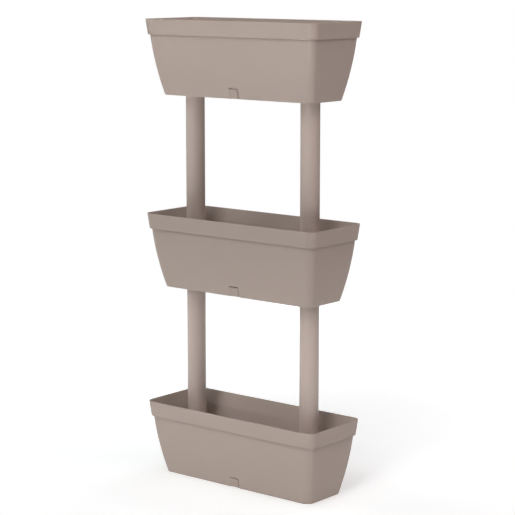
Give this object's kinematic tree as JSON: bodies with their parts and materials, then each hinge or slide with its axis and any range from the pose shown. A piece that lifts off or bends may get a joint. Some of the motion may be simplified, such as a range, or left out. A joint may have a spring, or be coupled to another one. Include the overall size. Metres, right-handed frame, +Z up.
{
  "type": "vertical planter tower",
  "caption": "Free-standing tower of rectangular planting troughs, one above another, carried on pairs of round tubes that plug into fittings in the trough floors.",
  "frame": {"origin": "on the ground, under the middle of the lowest trough", "axes": "+X along the troughs, -Y to the front, +Z up"},
  "size_m": [0.5, 0.188, 1.079],
  "materials": {
    "trough_plastic": "fine matt moulded taupe plastic",
    "tube_plastic": "smooth satin extruded taupe plastic",
    "fitting_plastic": "plain moulded dark taupe plastic",
    "black_rubber": "matt black rubber"
  },
  "bodies": {
    "lower_tier": {"lower_trough": "trough_plastic", "lower_left_base_spigot": "fitting_plastic", "lower_left_lock_ring": "fitting_plastic", "lower_left_seal": "black_rubber", "lower_left_tube": "tube_plastic", "lower_right_base_spigot": "fitting_plastic", "lower_right_lock_ring": "fitting_plastic", "lower_right_seal": "black_rubber", "lower_right_tube": "tube_plastic"},
    "middle_tier": {"middle_trough": "trough_plastic", "middle_left_coupler": "fitting_plastic", "middle_left_lock_ring": "fitting_plastic", "middle_left_seal": "black_rubber", "middle_left_tube": "tube_plastic", "middle_right_coupler": "fitting_plastic", "middle_right_lock_ring": "fitting_plastic", "middle_right_seal": "black_rubber", "middle_right_tube": "tube_plastic"},
    "upper_tier": {"upper_trough": "trough_plastic", "upper_left_top_spigot": "fitting_plastic", "upper_left_lock_ring": "fitting_plastic", "upper_left_seal": "black_rubber", "upper_right_top_spigot": "fitting_plastic", "upper_right_lock_ring": "fitting_plastic", "upper_right_seal": "black_rubber"},
    "lower_drain_plug": {"lower_drain_plug": "black_rubber"},
    "middle_drain_plug": {"middle_drain_plug": "black_rubber"},
    "upper_drain_plug": {"upper_drain_plug": "black_rubber"}
  },
  "joints": [
    {"name": "middle_tier_lift", "type": "slide", "parent": "lower_tier", "child": "middle_tier", "axis": [0, 0, 1], "range_m": [0, 0.045]},
    {"name": "upper_tier_lift", "type": "slide", "parent": "middle_tier", "child": "upper_tier", "axis": [0, 0, 1], "range_m": [0, 0.045]},
    {"name": "lower_plug_lift", "type": "slide", "parent": "lower_tier", "child": "lower_drain_plug", "axis": [0, 0, 1], "range_m": [0, 0.02]},
    {"name": "middle_plug_lift", "type": "slide", "parent": "middle_tier", "child": "middle_drain_plug", "axis": [0, 0, 1], "range_m": [0, 0.02]},
    {"name": "upper_plug_lift", "type": "slide", "parent": "upper_tier", "child": "upper_drain_plug", "axis": [0, 0, 1], "range_m": [0, 0.02]}
  ]
}
